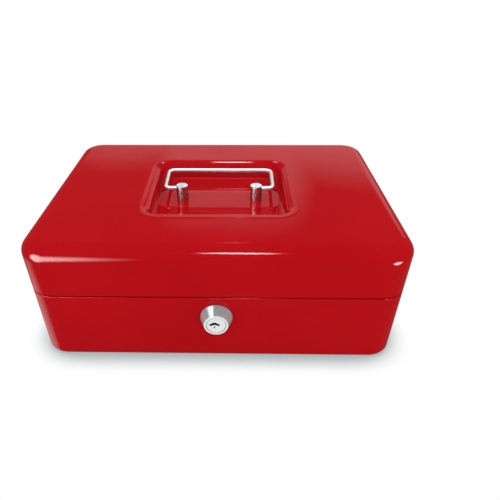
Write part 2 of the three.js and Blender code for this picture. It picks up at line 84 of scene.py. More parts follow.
SHEET = 1.0 * MM
HALF_X = lid_high.x
HALF_Y = lid_high.y
PLAN_RADIUS = 18 * MM
TOP_RADIUS = 10 * MM
BOTTOM_RADIUS = 3 * MM
MIN_PLAN_RADIUS = 8 * MM
EDGE = 0.35 * MM                     # rounding of a cut sheet edge
SEAM_GAP = 0.8 * MM
RIM_INSET = 1.8 * MM
SHOULDER_RADIUS = 0.4 * MM
SHOULDER_Z = lid_low.z - SEAM_GAP

# Handle recess. Each wall: how far out its rim is, how far out its floor is, rim and floor rounding.
RECESS_Y = -1.85 * MM
RECESS_DEPTH = 10 * MM
RECESS_FLOOR_HALF_Y = 15.4 * MM
RECESS_ENDS = (48.6 * MM, 46.3 * MM, 8 * MM, 1.2 * MM)
RECESS_BACK = (44.95 * MM, RECESS_FLOOR_HALF_Y + RECESS_Y, 24 * MM, 2.5 * MM)
RECESS_FRONT = (46.0 * MM, RECESS_FLOOR_HALF_Y - RECESS_Y, 12 * MM, 2.5 * MM)
RECESS_RIM_CORNER = 15.5 * MM
RECESS_FLOOR_CORNER = 5 * MM
LIP_WIDTH = 3.2 * MM                 # low ridge pressed up along the recess's front rim
LIP_HEIGHT = 0.26 * MM
LIP_STEPS = 8

HINGE_Z = (pin_low.z + pin_high.z) / 2
WIRE_RADIUS = (bail_high.z - bail_low.z) / 2
POST_X = (post_low.x + post_high.x) / 2
POST_RADIUS = (post_high.x - post_low.x) / 2
BAIL_PLACE = joint_place["handle_pivot"]
LOCK_PLACE = joint_place["lock_turn"]
LOCK_FRAME = Matrix.Translation((0, -HALF_Y, LOCK_PLACE.z)) @ Matrix.Rotation(math.pi / 2, 4, "X")
LOCK_FACE_Y = lock_low.y
PLUG_FACE_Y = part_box("lock_plug")[0].y
BEZEL_RADIUS = (lock_high.x - lock_low.x) / 2
BEZEL_HEIGHT = LOCK_PLACE.y - lock_low.y

# ---------- mesh building ----------


def piece_of(name, verts, faces, sharp_degrees=35):
    mesh = bpy.data.meshes.new(name)
    mesh.from_pydata([tuple(vert) for vert in verts], [], faces)
    build = bmesh.new()
    build.from_mesh(mesh)
    bmesh.ops.remove_doubles(build, verts=build.verts, dist=1e-7)
    bmesh.ops.recalc_face_normals(build, faces=build.faces)
    build.to_mesh(mesh)
    build.free()
    piece = bpy.data.objects.new(name, mesh)
    scene.collection.objects.link(piece)
    soften(piece, sharp_degrees)
    return piece


def soften(piece, sharp_degrees=35):
    piece.data.shade_smooth()
    piece.data.set_sharp_from_angle(angle=math.radians(sharp_degrees))


def even_normals(piece):
    """Keeps wide flat faces flat in their shading beside narrow rounded ones."""
    weighted = piece.modifiers.new("even_normals", "WEIGHTED_NORMAL")
    weighted.keep_sharp = True


def fillet(points, radii, steps=6):
    """A flat run of points whose inner corners are rounded, each by its own radius."""
    run = [Vector(points[0])]
    for before, corner, after, radius in zip(points, points[1:], points[2:], radii):
        corner = Vector(corner)
        inward = (Vector(before) - corner).normalized()
        outward = (Vector(after) - corner).normalized()
        half = inward.angle(outward) / 2
        centre = corner + (inward + outward).normalized() * (radius / math.sin(half))
        start = corner + inward * (radius / math.tan(half)) - centre
        end = corner + outward * (radius / math.tan(half)) - centre
        first = math.atan2(start.y, start.x)
        turn = (math.atan2(end.y, end.x) - first + math.pi) % (2 * math.pi) - math.pi
        for step in range(steps + 1):
            angle = first + turn * step / steps
            run.append(centre + Vector((math.cos(angle), math.sin(angle))) * radius)
    run.append(Vector(points[-1]))
    return run


def ring(half_x, half_y, radius, back_z, end_z=None, front_z=None, y=0.0, steps=12):
    """Rounded rectangle seen from above. Its ends and its front may lie at levels of their own."""
    end_z = back_z if end_z is None else end_z
    front_z = back_z if front_z is None else front_z
    points = []
    for quarter in range(4):
        sign_x = 1 if quarter in (0, 3) else -1
        sign_y = 1 if quarter < 2 else -1
        for step in range(steps + 1):
            angle = (quarter + step / steps) * math.pi / 2
            x = sign_x * (half_x - radius) + radius * math.cos(angle)
            across = sign_y * (half_y - radius) + radius * math.sin(angle)
            share = math.sin(angle) ** 2
            long_z = back_z if sign_y > 0 else front_z
            points.append((x, y + across, long_z * share + end_z * (1 - share)))
    return points


def box_ring(inset, z):
    return ring(HALF_X - inset, HALF_Y - inset, max(PLAN_RADIUS - inset, MIN_PLAN_RADIUS), z)


def skin(rings, closed=False):
    """Points and faces of a skin through rings, capped at both ends unless it closes on itself."""
    count = len(rings[0])
    verts = [point for points in rings for point in points]
    faces = []
    for level in range(len(rings) if closed else len(rings) - 1):
        here = level * count
        there = (level + 1) % len(rings) * count
        for i in range(count):
            j = (i + 1) % count
            faces.append((here + i, here + j, there + j, there + i))
    if not closed:
        faces.append(tuple(reversed(range(count))))
        faces.append(tuple(range(len(verts) - count, len(verts))))
    return verts, faces


def turned(name, profile, place=Matrix(), sides=72, closed=False):
    """Solid of revolution about +Z from (radius, height) pairs, moved by a matrix."""
    rings = []
    for radius, height in profile:
        radius = max(radius, 1e-5)
        angles = [2 * math.pi * side / sides for side in range(sides)]
        rings.append([(radius * math.cos(a), radius * math.sin(a), height) for a in angles])
    verts, faces = skin(rings, closed)
    piece = piece_of(name, [place @ Vector(vert) for vert in verts], faces)
    even_normals(piece)
    return piece


def raised(name, outline, low, high, place=Matrix()):
    """Flat outline raised along +Z."""
    rings = [[(x, y, z) for x, y in outline] for z in (low, high)]
    verts, faces = skin(rings)
    return piece_of(name, [place @ Vector(vert) for vert in verts], faces)


def block(name, low, high):
    outline = [(low[0], low[1]), (high[0], low[1]), (high[0], high[1]), (low[0], high[1])]
    return raised(name, outline, low[2], high[2])


def carve(piece, *cutters, operation="DIFFERENCE", sharp_degrees=35):
    """Cuts helper solids out of a piece, or joins them on, and deletes the helpers."""
    for cutter in cutters:
        cut = piece.modifiers.new("cut", "BOOLEAN")
        cut.object = cutter
        cut.operation = operation
        cut.solver = "EXACT"
        piece.modifiers.move(len(piece.modifiers) - 1, 0)
        graph = bpy.context.evaluated_depsgraph_get()
        other = [modifier for modifier in piece.modifiers if modifier != cut]
        for modifier in other:
            modifier.show_viewport = False
        graph.update()
        mesh = bpy.data.meshes.new_from_object(piece.evaluated_get(graph))
        for modifier in other:
            modifier.show_viewport = True
        piece.modifiers.remove(cut)
        piece.data = mesh
        bpy.data.objects.remove(cutter)
    soften(piece, sharp_degrees)
    return piece


def bevel(piece, width, segments=2, degrees=35):
    rounding = piece.modifiers.new("rounded_edges", "BEVEL")
    rounding.width = width
    rounding.segments = segments
    rounding.limit_method = "ANGLE"
    rounding.angle_limit = math.radians(degrees)
    rounding.harden_normals = True
    return piece


# ---------- materials ----------


class Recipe:
    """A node material with short calls for the few node kinds used here."""

    def __init__(self, name):
        self.material = bpy.data.materials.new(name)
        self.material.use_nodes = True
        self.nodes = self.material.node_tree.nodes
        self.links = self.material.node_tree.links
        self.shader = self.nodes["Principled BSDF"]
        self.place = self.nodes.new("ShaderNodeTexCoord").outputs["Object"]

    def set(self, **values):
        for name, value in values.items():
            socket = self.shader.inputs[name.replace("_", " ")]
            if isinstance(value, bpy.types.NodeSocket):
                self.links.new(value, socket)
            else:
                socket.default_value = value

    def noise(self, size, detail=2.0, stretch=None, rough=0.5):
        """Soft noise with features of about the given size, optionally stretched along an axis."""
        node = self.nodes.new("ShaderNodeTexNoise")
        node.inputs["Scale"].default_value = 1 / size
        node.inputs["Detail"].default_value = detail
        node.inputs["Roughness"].default_value = rough
        source = self.place
        if stretch:
            mapping = self.nodes.new("ShaderNodeMapping")
            mapping.inputs["Scale"].default_value = stretch
            self.links.new(source, mapping.inputs["Vector"])
            source = mapping.outputs["Vector"]
        self.links.new(source, node.inputs["Vector"])
        return node.outputs["Fac"]

    def span(self, value, low, high, start=0.35, end=0.65):
        """Maps a noise value from its middle range to low..high."""
        node = self.nodes.new("ShaderNodeMapRange")
        node.inputs["From Min"].default_value = start
        node.inputs["From Max"].default_value = end
        node.inputs["To Min"].default_value = low
        node.inputs["To Max"].default_value = high
        self.links.new(value, node.inputs["Value"])
        return node.outputs["Result"]

    def tint(self, value, first, second):
        node = self.nodes.new("ShaderNodeMix")
        node.data_type = "RGBA"
        node.inputs[6].default_value = (*first, 1)
        node.inputs[7].default_value = (*second, 1)
        self.links.new(self.span(value, 0, 1), node.inputs[0])
        return node.outputs[2]

    def depth(self, level, spread):
        """0 in front of a level on the object's own Y axis, 1 a little behind it."""
        axes = self.nodes.new("ShaderNodeSeparateXYZ")
        self.links.new(self.place, axes.inputs["Vector"])
        return self.span(axes.outputs["Y"], 0, 1, level - spread, level + spread)

    def blend(self, share, first, second):
        node = self.nodes.new("ShaderNodeMix")
        node.data_type = "RGBA"
        self.links.new(share, node.inputs[0])
        self.links.new(first, node.inputs[6])
        node.inputs[7].default_value = (*second, 1)
        return node.outputs[2]

    def bump(self, value, height, below=None):
        """Bump whose full noise swing stands for the given height."""
        node = self.nodes.new("ShaderNodeBump")
        node.inputs["Strength"].default_value = 1
        node.inputs["Distance"].default_value = height
        self.links.new(value, node.inputs["Height"])
        if below:
            self.links.new(below, node.inputs["Normal"])
        return node.outputs["Normal"]


def red_enamel():
    """Sprayed gloss enamel: orange peel about a millimetre across over slightly wavy sheet."""
    paint = Recipe("red_enamel")
    waves = paint.bump(paint.noise(38 * MM, detail=1), 0.10 * MM)
    peel = paint.bump(paint.noise(1.6 * MM, detail=1), 0.0012 * MM, below=waves)
    paint.set(
        Base_Color=paint.tint(paint.noise(60 * MM), (0.455, 0.002, 0.006), (0.485, 0.003, 0.007)),
        Roughness=paint.span(paint.noise(9 * MM, detail=4), 0.4, 0.5),
        Specular_IOR_Level=0.0,
        Coat_Weight=0.55,
        Coat_Roughness=paint.span(paint.noise(14 * MM, detail=5), 0.025, 0.06),
        Coat_Normal=peel,
        Normal=waves,
    )
    return paint.material


def bright_chrome(name="bright_chrome", metallic=0.85, rough=0.06):
    """Plated metal with faint polishing haze and a slightly uneven surface."""
    chrome = Recipe(name)
    chrome.set(
        Base_Color=chrome.tint(chrome.noise(3 * MM), (0.80, 0.83, 0.85), (0.88, 0.90, 0.91)),
        Metallic=metallic,
        Roughness=chrome.span(chrome.noise(1.5 * MM, detail=6), rough, rough + 0.07),
        Normal=chrome.bump(chrome.noise(2.5 * MM, detail=1), 0.004 * MM),
    )
    return chrome.material


def lock_cone():
    """Lock housing: polished front rim, and a duller turned cone behind it."""
    cone = Recipe("lock_cone")
    behind = cone.depth(LOCK_FACE_Y + 0.7 * MM, 0.15 * MM)
    plating = cone.tint(cone.noise(3 * MM), (0.84, 0.88, 0.89), (0.92, 0.95, 0.95))
    cone.set(
        Base_Color=cone.blend(behind, plating, (0.40, 0.47, 0.49)),
        Metallic=0.25,
        Roughness=cone.span(cone.noise(1.5 * MM, detail=6), 0.14, 0.2),
        Normal=cone.bump(cone.noise(2.5 * MM, detail=1), 0.004 * MM),
    )
    return cone.material


def lock_face():
    """Satin face of the plug. Everything behind the face, the inside of its keyway, is painted black as
    painted shade.
    """
    face = Recipe("lock_face")
    # Painted shade: this mask turns everything behind the plug's face black, so the keyway's inside looks
    # dark.
    behind = face.depth(PLUG_FACE_Y + 0.3 * MM, 0.15 * MM)
    plating = face.tint(face.noise(3 * MM), (0.78, 0.82, 0.83), (0.86, 0.89, 0.90))
    face.set(
        Base_Color=face.blend(behind, plating, (0.004, 0.004, 0.004)),
        Metallic=0.3,
        Roughness=face.span(face.noise(1.5 * MM, detail=6), 0.3, 0.37),
        Normal=face.bump(face.noise(2.5 * MM, detail=1), 0.004 * MM),
    )
    return face.material


def turned_chrome():
    """Plated pillar whose lathe marks run round it, so lights stretch into upright streaks."""
    chrome = Recipe("turned_chrome")
    around = chrome.nodes.new("ShaderNodeTangent")
    around.direction_type = "RADIAL"
    around.axis = "Z"
    grooves = chrome.noise(0.6 * MM, detail=3, stretch=(0.05, 0.05, 4))
    chrome.set(
        Base_Color=chrome.tint(chrome.noise(2 * MM), (0.50, 0.54, 0.55), (0.58, 0.61, 0.62)),
        Metallic=1.0,
        Roughness=chrome.span(chrome.noise(1.2 * MM, detail=5), 0.2, 0.28),
        Anisotropic=0.9,
        Anisotropic_Rotation=0.25,
        Tangent=around.outputs["Tangent"],
        Normal=chrome.bump(grooves, 0.001 * MM),
    )
    return chrome.material


def zinc_plate():
    """Dull bluish plating with a fine drawn grain and cloudy patches."""
    zinc = Recipe("zinc_plate")
    grain = zinc.noise(0.25 * MM, detail=3, stretch=(0.05, 1, 1))
    zinc.set(
        Base_Color=zinc.tint(zinc.noise(4 * MM, detail=5), (0.50, 0.52, 0.53), (0.66, 0.67, 0.66)),
        Metallic=1.0,
        Roughness=zinc.span(zinc.noise(2 * MM, detail=6), 0.28, 0.46),
        Normal=zinc.bump(grain, 0.006 * MM),
    )
    return zinc.material


def stamped_brass():
    """Stamped tumbler brass, slightly tarnished."""
    brass = Recipe("stamped_brass")
    brass.set(
        Base_Color=brass.tint(brass.noise(1.2 * MM, detail=5), (0.50, 0.33, 0.10), (0.72, 0.53, 0.22)),
        Metallic=1.0,
        Roughness=brass.span(brass.noise(0.8 * MM, detail=4), 0.25, 0.45),
        Normal=brass.bump(brass.noise(0.3 * MM, detail=3), 0.004 * MM),
    )
    return brass.material


def black_styrene():
    """Moulded tray plastic with a fine spark-eroded grain and soft sheen."""
    plastic = Recipe("black_styrene")
    grain = plastic.bump(plastic.noise(0.45 * MM, detail=3), 0.02 * MM)
    plastic.set(
        Base_Color=plastic.tint(plastic.noise(20 * MM), (0.012, 0.012, 0.013), (0.020, 0.020, 0.021)),
        Roughness=plastic.span(plastic.noise(6 * MM, detail=5), 0.38, 0.55),
        Specular_IOR_Level=0.45,
        Normal=grain,
    )
    return plastic.material


MATERIALS = {
    "red_paint": red_enamel(),
    "chrome": bright_chrome(),
    "turned_chrome": turned_chrome(),
    "lock_chrome": lock_cone(),
    "lock_satin": lock_face(),
    "zinc_plate": zinc_plate(),
    "brass": stamped_brass(),
    "black_plastic": black_styrene(),
}


def light_group(look):
    """Collection of the pieces with one look, so that a lamp can be kept to them."""
    name = f"lit_{look}"
    return bpy.data.collections.get(name) or bpy.data.collections.new(name)


def finish_piece(piece, body, slot, *nodes, look=None):
    """Gives a new piece its material, its body and the CAD nodes that it stands for."""
    piece.data.materials.clear()
    piece.data.materials.append(MATERIALS[look or slot])
    light_group(look or slot).objects.link(piece)
    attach(piece, body)
    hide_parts(*nodes)
    return piece


# ---------- base ----------


def hinge_slot(name, low_z, high_z, end_y=HALF_Y + 5 * MM):
    """Room for the hinge in the back wall, from inside the box back to end_y."""
    half = pin_high.x + 0.5 * MM
    return block(name, (-half, HALF_Y - 5 * MM, low_z), (half, end_y, high_z))


def base_piece():
    flat = 20 * MM
    rim_z = base_high.z
    inner = RIM_INSET + SHEET
    joggle_z = SHOULDER_Z - SHEET
    profile = fillet(
        [
            (flat, 0), (0, 0), (0, SHOULDER_Z), (RIM_INSET, SHOULDER_Z), (RIM_INSET, rim_z),
            (inner, rim_z), (inner, joggle_z), (SHEET, joggle_z - RIM_INSET), (SHEET, SHEET), (flat, SHEET),
        ],
        [BOTTOM_RADIUS, SHOULDER_RADIUS, EDGE, EDGE, EDGE, EDGE, EDGE, BOTTOM_RADIUS - SHEET],
        steps=7,
    )
    piece = piece_of("base_tub", *skin([box_ring(inset, z) for inset, z in profile]))
    hole_radius = 8.3 * MM
    above = HINGE_Z + 30 * MM
    carve(
        piece,
        hinge_slot("slot", HINGE_Z - 3 * MM, above),
        hinge_slot("relief", HINGE_Z - 8 * MM, above, end_y=HALF_Y - 0.9 * MM),
        turned("hole", [(hole_radius, -4 * MM), (hole_radius, 4 * MM)], LOCK_FRAME),
    )
    even_normals(piece)
    return finish_piece(piece, "box", "red_paint", "base_shell")


# ---------- lid ----------


def recess_rings(drop=0.0):
    """Rings over the front lip, then down to the floor: long ramps front and back, steep ends."""
    lead = 12 * MM
    walls = []
    for rim, floor, rim_radius, floor_radius in (RECESS_ENDS, RECESS_BACK, RECESS_FRONT):
        corners = [(rim + lead, 0), (rim, 0), (floor, -RECESS_DEPTH), (floor - lead, -RECESS_DEPTH)]
        walls.append(fillet(corners, [rim_radius, floor_radius], steps=9)[1:-1])
    rings = []
    last = len(walls[0]) - 1
    top = lid_high.z - drop
    for index, (end, back, front) in enumerate(zip(*walls)):
        share = index / last
        radius = RECESS_RIM_CORNER * (1 - share) + RECESS_FLOOR_CORNER * share
        half_y = (back.x + front.x) / 2
        middle_y = (back.x - front.x) / 2
        rings.append(ring(end.x, half_y, radius, top + back.y, top + end.y, top + front.y, middle_y))
    end, back, front = (wall[0].x for wall in walls)
    lip = []
    for step in range(LIP_STEPS):
        share = step / LIP_STEPS
        out = LIP_WIDTH * (1 - share)
        lift = LIP_HEIGHT * (1 - math.cos(2 * math.pi * share)) / 2
        half_y = (back + front) / 2 + out
        lip.append(
            ring(end + out, half_y, RECESS_RIM_CORNER + out, top, top, top + lift, (back - front) / 2)
        )
    return lip + rings


def blend_rings(first, last, steps=6):
    """Rings between two others, ends left out."""
    between = []
    for step in range(1, steps):
        share = step / steps
        between.append([Vector(a).lerp(Vector(b), share) for a, b in zip(first, last)])
    return between


def lid_piece():
    top, edge, inside = lid_high.z, lid_low.z, lid_high.z - SHEET
    flat = TOP_RADIUS + 2 * MM
    profile = fillet(
        [(flat, inside), (SHEET, inside), (SHEET, edge), (0, edge), (0, top), (flat, top)],
        [TOP_RADIUS - SHEET, EDGE, EDGE, TOP_RADIUS],
        steps=14,
    )
    outer = [box_ring(inset, z) for inset, z in profile]
    hollow = recess_rings()
    hollow_below = list(reversed(recess_rings(drop=1.1 * SHEET)))
    rings = hollow_below + blend_rings(hollow_below[-1], outer[0]) + outer
    rings += blend_rings(outer[-1], hollow[0]) + hollow
    piece = piece_of("lid_shell_skin", *skin(rings))
    carve(piece, hinge_slot("slot", HINGE_Z - 9 * MM, HINGE_Z + 3 * MM))
    even_normals(piece)
    return finish_piece(piece, "lid", "red_paint", "lid_shell")


# ---------- handle ----------


def handle_path():
    """Middle line of the wire on its own plane: post, foot bend, arm, grip, arm, foot bend, post."""
    reach = bail_high.y - WIRE_RADIUS - BAIL_PLACE.y
    side = bail_high.x - WIRE_RADIUS
    wide = side + 0.6 * MM
    end = 25.5 * MM
    foot_bend, grip_bend = 4.2 * MM, 5.0 * MM
    corners = [(-end, 0), (-side, 0), (-wide, reach), (wide, reach), (side, 0), (end, 0)]
    return fillet(corners, [foot_bend, grip_bend, grip_bend, foot_bend], steps=10)


def handle_piece(sides=28):
    path = handle_path()
    rings = []
    for index, point in enumerate(path):
        before = path[max(index - 1, 0)]
        after = path[min(index + 1, len(path) - 1)]
        along = (after - before).normalized()
        across = Vector((-along.y, along.x, 0))
        centre = BAIL_PLACE + Vector((point.x, point.y, 0))
        loop = []
        for side in range(sides):
            angle = 2 * math.pi * side / sides
            loop.append(centre + WIRE_RADIUS * (across * math.cos(angle) + Vector((0, 0, math.sin(angle)))))
        rings.append(loop)
    piece = piece_of("handle_wire", *skin(rings))
    even_normals(piece)
    return finish_piece(piece, "handle", "chrome", "handle_bail")


def post_piece(side, x):
    """Pillar on a spigot that goes through the recess's floor and is peened over under its washer."""
    floor_z = lid_high.z - RECESS_DEPTH
    peened_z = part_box(f"post_washer_{side}")[0].z - 0.1 * MM
    spigot, peened, tip = 2.5 * MM, 3.8 * MM, 2.9 * MM
    profile = fillet(
        [
            (0, post_low.z), (tip, post_low.z), (peened, peened_z), (spigot, peened_z),
            (spigot, floor_z), (POST_RADIUS, floor_z), (POST_RADIUS, post_high.z), (0, post_high.z),
        ],
        [0.8 * MM, 0.2 * MM, 0.1 * MM, 0.1 * MM, 0.2 * MM, 0.45 * MM],
        steps=5,
    )
    piece = turned(f"handle_pillar_{side}", profile, Matrix.Translation((x, BAIL_PLACE.y, 0)))
    along_x = Matrix.Rotation(math.copysign(math.pi / 2, x), 4, "Y")
    start = Vector((math.copysign(24.6 * MM, x), BAIL_PLACE.y, BAIL_PLACE.z))
    bore_radius = WIRE_RADIUS + 0.15 * MM
    bore = [(bore_radius, 0), (bore_radius, 14 * MM)]
    carve(piece, turned("bore", bore, Matrix.Translation(start) @ along_x, sides=40))
    return finish_piece(piece, "lid", "chrome", f"handle_post_{side}", look="turned_chrome")


# ---------- lock, in a frame with +Z out of the front wall and +Y up ----------

PLUG_BORE = 6.1 * MM
PLUG_SEAT = 6.7 * MM                 # radius of the pocket that the plug's face sits in
FACE_RADIUS = 7.9 * MM
BARREL_RADIUS = 8 * MM


def lock_body_piece():
    """Barrel through the wall, and the cone in front of it. The profile starts and ends in the bore."""
    face = BEZEL_HEIGHT
    back = -16 * MM
    wall = 0.05 * MM
    brim = 0.9 * MM
    seat = face - 2.1 * MM
    profile = fillet(
        [
            (PLUG_BORE, -5 * MM), (PLUG_BORE, back), (BARREL_RADIUS, back), (BARREL_RADIUS, wall),
            (BEZEL_RADIUS, wall), (BEZEL_RADIUS, brim), (FACE_RADIUS, face), (PLUG_SEAT, face),
            (PLUG_SEAT, seat), (PLUG_BORE, seat), (PLUG_BORE, -4 * MM),
        ],
        [0.2 * MM, 0.4 * MM, 0.02 * MM, 0.3 * MM, 0.5 * MM, 0.45 * MM, 0.3 * MM, 0.1 * MM, 0.1 * MM],
        steps=5,
    )
    piece = turned("lock_housing", profile, LOCK_FRAME, sides=96, closed=True)
    return finish_piece(piece, "box", "chrome", "lock_body", look="lock_chrome")


def keyway_outline():
    """Arched blade slot: a thick middle with two tips that turn out level."""
    corners = [
        (-4.3, 0.4), (-4.3, 1.3), (-3.2, 1.5), (-2.1, 2.4), (-0.95, 2.65), (0.2, 2.4),
        (1.2, 1.5), (2.35, 1.3), (2.35, -0.4), (1.2, -0.4), (0.1, 0.2), (-0.95, 0.45),
        (-2.0, 0.2), (-3.1, -0.4), (-4.3, -0.4), (-4.3, 0.4),
    ]
    scaled = [(x * MM, y * MM) for x, y in corners]
    return fillet(scaled, [0.25 * MM] * (len(corners) - 2), steps=4)[:-1]


def wafer_room(wafer):
    """Slot that one wafer slides in, and the chamber above it for the wafer's lug and spring."""
    low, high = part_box(f"lock_wafer_{wafer}")
    middle = (low.y + high.y) / 2
    z = LOCK_PLACE.z
    rooms = []
    for name, half_y, x_range, z_range in (
        ("slot", 0.65 * MM, (-8 * MM, 8 * MM), (-2.6 * MM, 3.4 * MM)),
        ("chamber", 0.85 * MM, (-2.5 * MM, 2.4 * MM), (3 * MM, 4.95 * MM)),
    ):
        near = (x_range[0], middle - half_y, z + z_range[0])
        far = (x_range[1], middle + half_y, z + z_range[1])
        rooms.append(block(name, near, far))
    return rooms


def lock_plug_piece():
    """Core with its face, square tail, keyway, and a slot and a spring chamber for each wafer."""
    face = BEZEL_HEIGHT - 0.3 * MM
    under_face = face - 1.5 * MM
    back = -16.3 * MM
    rim = PLUG_SEAT - 0.25 * MM
    core = 5.9 * MM
    profile = fillet(
        [(0, back), (core, back), (core, under_face), (rim, under_face), (rim, face), (0, face)],
        [0.2 * MM, 0.05 * MM, 0.05 * MM, 0.35 * MM],
        steps=4,
    )
    piece = turned("lock_core", profile, LOCK_FRAME, sides=96)
    half = 3.5 * MM
    square = [(-half, -half), (half, -half), (half, half), (-half, half)]
    tail = raised("tail", square, -19.2 * MM, back + 1 * MM, LOCK_FRAME)
    carve(piece, tail, operation="UNION")
    dot_radius = 0.6 * MM
    dot = [(dot_radius, face - 1.2 * MM), (dot_radius, face + 1 * MM)]
    dot_place = LOCK_FRAME @ Matrix.Translation((-1.0 * MM, -1.5 * MM, 0))
    screw_radius = 1.9 * MM
    screw_hole = [(screw_radius, -20 * MM), (screw_radius, -13 * MM)]
    cutters = [
        raised("keyway", keyway_outline(), -11 * MM, face + 2 * MM, LOCK_FRAME),
        turned("dot", dot, dot_place, sides=20),
        turned("screw_hole", screw_hole, LOCK_FRAME, sides=32),
    ]
    for wafer in range(1, 6):
        cutters += wafer_room(wafer)
    carve(piece, *cutters, sharp_degrees=20)
    return finish_piece(piece, "lock_core", "chrome", "lock_plug", look="lock_satin")


# ---------- coin tray ----------


def tray_hollow(name, from_x, to_x, from_y, to_y, scoop):
    """Cup whose front and back walls curve into its floor, so coins slide up them."""
    low_z = tray_low.z + 2 * MM
    half = Vector(((to_x - from_x) / 2, (to_y - from_y) / 2))
    middle = Vector(((to_x + from_x) / 2, (to_y + from_y) / 2, 0))
    rings = [ring(half.x, half.y, 6 * MM, tray_high.z + 2 * MM, steps=6)]
    narrowing = 0.6 * MM
    side_curl = 3.5 * MM
    steps = 10
    for step in range(steps + 1):
        angle = math.pi / 2 * step / steps
        draw = narrowing + side_curl * (1 - math.cos(angle))
        curl = narrowing + scoop * (1 - math.cos(angle))
        z = low_z + scoop * (1 - math.sin(angle))
        rings.append(ring(half.x - draw, half.y - curl, 5 * MM, z, steps=6))
    verts, faces = skin([[Vector(point) + middle for point in loop] for loop in reversed(rings)])
    return piece_of(name, verts, faces)


def tray_piece():
    """Moulding that hangs by its end flanges: a long compartment behind four coin cups."""
    flange_low = tray_high.z - 1.6 * MM
    flange = 4.6 * MM
    wall = 2 * MM
    foot = 2 * MM
    cups = 4
    half_y = (tray_high.y - tray_low.y) / 2
    middle_y = (tray_high.y + tray_low.y) / 2
    body_x = tray_high.x - flange
    sections = [
        (body_x - 2 * MM, half_y - 2.6 * MM, tray_low.z),
        (body_x - 0.9 * MM, half_y - 0.9 * MM, tray_low.z + foot),
        (body_x, half_y, flange_low),
        (tray_high.x, half_y, flange_low),
        (tray_high.x, half_y, tray_high.z),
    ]
    rings = [ring(x, y, 8 * MM, z, y=middle_y, steps=6) for x, y, z in sections]
    piece = piece_of("coin_tray_moulding", *skin(rings))
    front, back = tray_low.y + wall, tray_high.y - wall
    cup_back = tray_low.y + 0.56 * (tray_high.y - tray_low.y)
    pitch = (2 * body_x - wall) / cups
    cutters = [tray_hollow("long", -body_x + wall, body_x - wall, cup_back + wall, back, 9 * MM)]
    for cup in range(cups):
        start = -body_x + wall + cup * pitch
        cutters.append(tray_hollow("cup", start, start + pitch - wall, front, cup_back, 16 * MM))
    carve(piece, *cutters)
    bevel(piece, 0.5 * MM)
    return finish_piece(piece, "tray", "black_plastic", "coin_tray")


# ---------- CAD nodes that stay ----------


def smooth_by_angle():
    """Node group that shades a faceted part smooth where its faces meet at a small angle."""
    group = bpy.data.node_groups.new("smooth_by_angle", "GeometryNodeTree")
    group.interface.new_socket("Geometry", in_out="INPUT", socket_type="NodeSocketGeometry")
    group.interface.new_socket("Geometry", in_out="OUTPUT", socket_type="NodeSocketGeometry")
    start = group.nodes.new("NodeGroupInput")
    end = group.nodes.new("NodeGroupOutput")
    angle = group.nodes.new("GeometryNodeInputMeshEdgeAngle")
    compare = group.nodes.new("FunctionNodeCompare")
    compare.operation = "GREATER_THAN"
    compare.inputs["B"].default_value = math.radians(32)
    faces = group.nodes.new("GeometryNodeSetShadeSmooth")
    edges = group.nodes.new("GeometryNodeSetShadeSmooth")
    edges.domain = "EDGE"
    edges.inputs["Shade Smooth"].default_value = False
    group.links.new(angle.outputs["Unsigned Angle"], compare.inputs["A"])
    group.links.new(start.outputs[0], faces.inputs["Geometry"])
    group.links.new(faces.outputs[0], edges.inputs["Geometry"])
    group.links.new(compare.outputs[0], edges.inputs["Selection"])
    group.links.new(edges.outputs[0], end.inputs[0])
    return group


def dress_cad_nodes():
    """Materials, small edge rounding and smooth shading for the CAD parts that are shown as they are."""
    group = smooth_by_angle()
    slots = {part["node"]: part["material_slot"] for part in frame["record"]["subparts"]}
    for name, part in frame["nodes"].items():
        if part.hide_render:
            continue
        part.data.materials.clear()
        part.data.materials.append(MATERIALS[slots[name]])
        if not name.startswith("wafer_spring"):
            bevel(part, 0.12 * MM, degrees=40)
        shading = part.modifiers.new("smooth_by_angle", "NODES")
        shading.node_group = group


# ---------- stage, light and camera ----------


class Shading(Recipe):
    """Short calls for the arithmetic of the world and floor shaders."""

    def __init__(self, tree):
        self.nodes = tree.nodes
        self.links = tree.links

    def math(self, operation, *values):
        node = self.nodes.new("ShaderNodeMath")
        node.operation = operation
        for socket, value in zip(node.inputs, values):
            if isinstance(value, bpy.types.NodeSocket):
                self.links.new(value, socket)
            else:
                socket.default_value = value
        return node.outputs[0]

    def dot(self, vector, fixed):
        node = self.nodes.new("ShaderNodeVectorMath")
        node.operation = "DOT_PRODUCT"
        self.links.new(vector, node.inputs[0])
        node.inputs[1].default_value = fixed
        return node.outputs["Value"]

    def soft_step(self, value, start, end, low=0.0, high=1.0):
        node = self.nodes.new("ShaderNodeMapRange")
        node.interpolation_type = "SMOOTHSTEP"
        node.inputs["From Min"].default_value = start
        node.inputs["From Max"].default_value = end
        node.inputs["To Min"].default_value = low
        node.inputs["To Max"].default_value = high
        self.links.new(value, node.inputs["Value"])
        return node.outputs["Result"]

    def ray_is(self, kind):
        return self.nodes.new("ShaderNodeLightPath").outputs[f"Is {kind} Ray"]

    def soft_box(self, direction, side, height, half_width, half_height, edge, power, glow):
        """Soft-edged light seen in one direction: side turns from +Y towards +X, height is above level."""
        centre = toward(side, height)
        across = Vector((math.cos(math.radians(side)), -math.sin(math.radians(side)), 0))
        upward = across.cross(centre)
        ahead = self.math("MAXIMUM", self.dot(direction, centre), 0.001)
        reach = []
        for axis, half in ((across, half_width), (upward, half_height)):
            slope = self.math("DIVIDE", self.dot(direction, axis), ahead)
            size = math.tan(math.radians(half))
            reach.append(self.math("POWER", self.math("ABSOLUTE", self.math("DIVIDE", slope, size)), power))
        spread = self.math("POWER", self.math("ADD", *reach), 1 / power)
        return self.math("MULTIPLY", self.soft_step(spread, 1 + edge, 1 - edge), glow)


